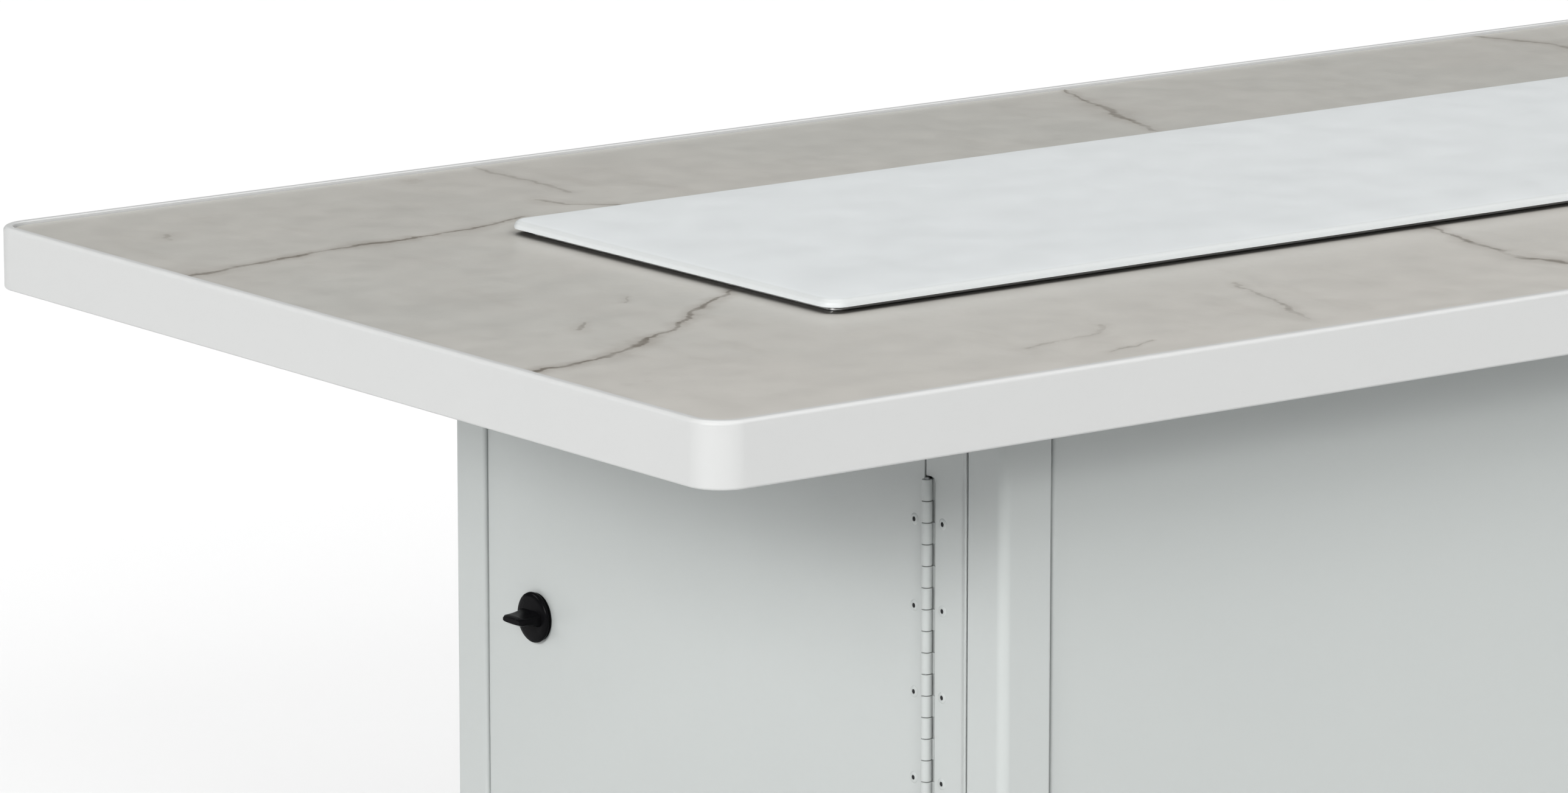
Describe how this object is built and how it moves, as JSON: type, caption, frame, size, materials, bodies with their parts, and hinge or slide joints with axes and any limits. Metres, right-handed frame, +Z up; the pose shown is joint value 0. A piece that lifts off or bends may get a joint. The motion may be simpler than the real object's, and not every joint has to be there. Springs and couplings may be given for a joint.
{
  "type": "gas fire pit table",
  "caption": "Rectangular gas fire pit table: marble-look tile top in a white metal rim, linear burner under a lift-off lid, sheet metal cabinet with a hinged access door.",
  "frame": {"origin": "on the ground, under the middle of the table", "axes": "+X along the table, away from the end with the access door; +Y from the front long side to the vented back; +Z up"},
  "size_m": [1.556, 0.729, 0.6174],
  "materials": {
    "white_powder_coat": "satin white powder coat on sheet metal, very fine orange peel",
    "lid_powder_coat": "satin white powder coat on a pressed metal lid",
    "marble_tile": "honed warm grey marble-look porcelain with soft darker veins",
    "cement_board": "grey fibre cement backer board",
    "galvanised_steel": "galvanised sheet steel",
    "hinge_steel": "continuous hinge, powder coated with the cabinet",
    "stainless_steel": "brushed stainless steel",
    "black_gloss_plastic": "glossy moulded black plastic",
    "brass": "machined brass",
    "copper": "drawn copper capillary",
    "black_rubber": "matt black rubber",
    "foot_plastic": "matt black moulded plastic on a threaded stud",
    "fire_glass": "tumbled dark reflective fire glass",
    "electrode_ceramic": "white alumina insulator"
  },
  "bodies": {
    "table": {"rim_frame": "white_powder_coat", "tile_top": "marble_tile", "backer_board": "cement_board", "top_deck": "galvanised_steel", "deck_brace_1": "galvanised_steel", "deck_brace_2": "galvanised_steel", "deck_brace_3": "galvanised_steel", "deck_brace_4": "galvanised_steel", "burner_pan": "stainless_steel", "burner_tube": "stainless_steel", "fire_glass": "fire_glass", "igniter_probe": "electrode_ceramic", "thermocouple": "brass", "post_front_left": "white_powder_coat", "post_front_right": "white_powder_coat", "post_back_left": "white_powder_coat", "post_back_right": "white_powder_coat", "front_panel": "white_powder_coat", "back_panel": "white_powder_coat", "right_end_panel": "white_powder_coat", "floor_pan": "galvanised_steel", "base_top_frame": "galvanised_steel", "partition_panel": "galvanised_steel", "heat_shield": "galvanised_steel", "tank_ring": "galvanised_steel", "hinge_stile": "white_powder_coat", "door_header": "white_powder_coat", "door_sill": "white_powder_coat", "hinge_leaf_frame": "hinge_steel", "hinge_pin": "hinge_steel", "latch_keeper": "galvanised_steel", "control_plate": "stainless_steel", "gas_valve": "brass", "inlet_fitting": "brass", "igniter_module": "black_gloss_plastic", "air_mixer": "brass", "flex_gas_line": "stainless_steel", "ignition_lead": "black_rubber", "thermocouple_lead": "copper"},
    "lid": {"burner_lid": "lid_powder_coat", "lid_bumper_1": "black_rubber", "lid_bumper_2": "black_rubber", "lid_bumper_3": "black_rubber", "lid_bumper_4": "black_rubber"},
    "door": {"access_door": "white_powder_coat", "door_stiffener": "galvanised_steel", "hinge_leaf_door": "hinge_steel", "latch_housing": "black_gloss_plastic", "latch_nut": "galvanised_steel"},
    "latch": {"latch_knob": "black_gloss_plastic", "latch_cam": "galvanised_steel"},
    "knob_stem": {"valve_stem": "stainless_steel"},
    "knob": {"control_knob": "black_gloss_plastic"},
    "igniter_button": {"igniter_button": "black_gloss_plastic"},
    "foot_1": {"levelling_foot_1": "foot_plastic"},
    "foot_2": {"levelling_foot_2": "foot_plastic"},
    "foot_3": {"levelling_foot_3": "foot_plastic"},
    "foot_4": {"levelling_foot_4": "foot_plastic"}
  },
  "joints": [
    {"name": "lid_lift", "type": "slide", "parent": "table", "child": "lid", "axis": [0, 0, 1], "range_m": [0, 0.25]},
    {"name": "door_swing", "type": "hinge", "parent": "table", "child": "door", "pos_m": [-0.504, -0.2004, 0.295], "axis": [0, 0, 1], "range_deg": [0, 160]},
    {"name": "latch_turn", "type": "hinge", "parent": "door", "child": "latch", "pos_m": [-0.49, 0.186, 0.3615], "axis": [1, 0, 0], "range_deg": [0, 90]},
    {"name": "knob_push", "type": "slide", "parent": "table", "child": "knob_stem", "axis": [-1, 0, 0], "range_m": [0, 0.003], "stiffness_N_per_m": 600},
    {"name": "knob_turn", "type": "hinge", "parent": "knob_stem", "child": "knob", "pos_m": [0.51, -0.06, 0.47], "axis": [1, 0, 0], "range_deg": [0, 180]},
    {"name": "igniter_press", "type": "slide", "parent": "table", "child": "igniter_button", "axis": [-1, 0, 0], "range_m": [0, 0.005], "stiffness_N_per_m": 500},
    {"name": "foot_turn_1", "type": "hinge", "parent": "table", "child": "foot_1", "pos_m": [-0.455, -0.24, 0.02], "axis": [0, 0, 1], "continuous": true},
    {"name": "foot_turn_2", "type": "hinge", "parent": "table", "child": "foot_2", "pos_m": [0.455, -0.24, 0.02], "axis": [0, 0, 1], "continuous": true},
    {"name": "foot_turn_3", "type": "hinge", "parent": "table", "child": "foot_3", "pos_m": [0.455, 0.24, 0.02], "axis": [0, 0, 1], "continuous": true},
    {"name": "foot_turn_4", "type": "hinge", "parent": "table", "child": "foot_4", "pos_m": [-0.455, 0.24, 0.02], "axis": [0, 0, 1], "continuous": true}
  ]
}
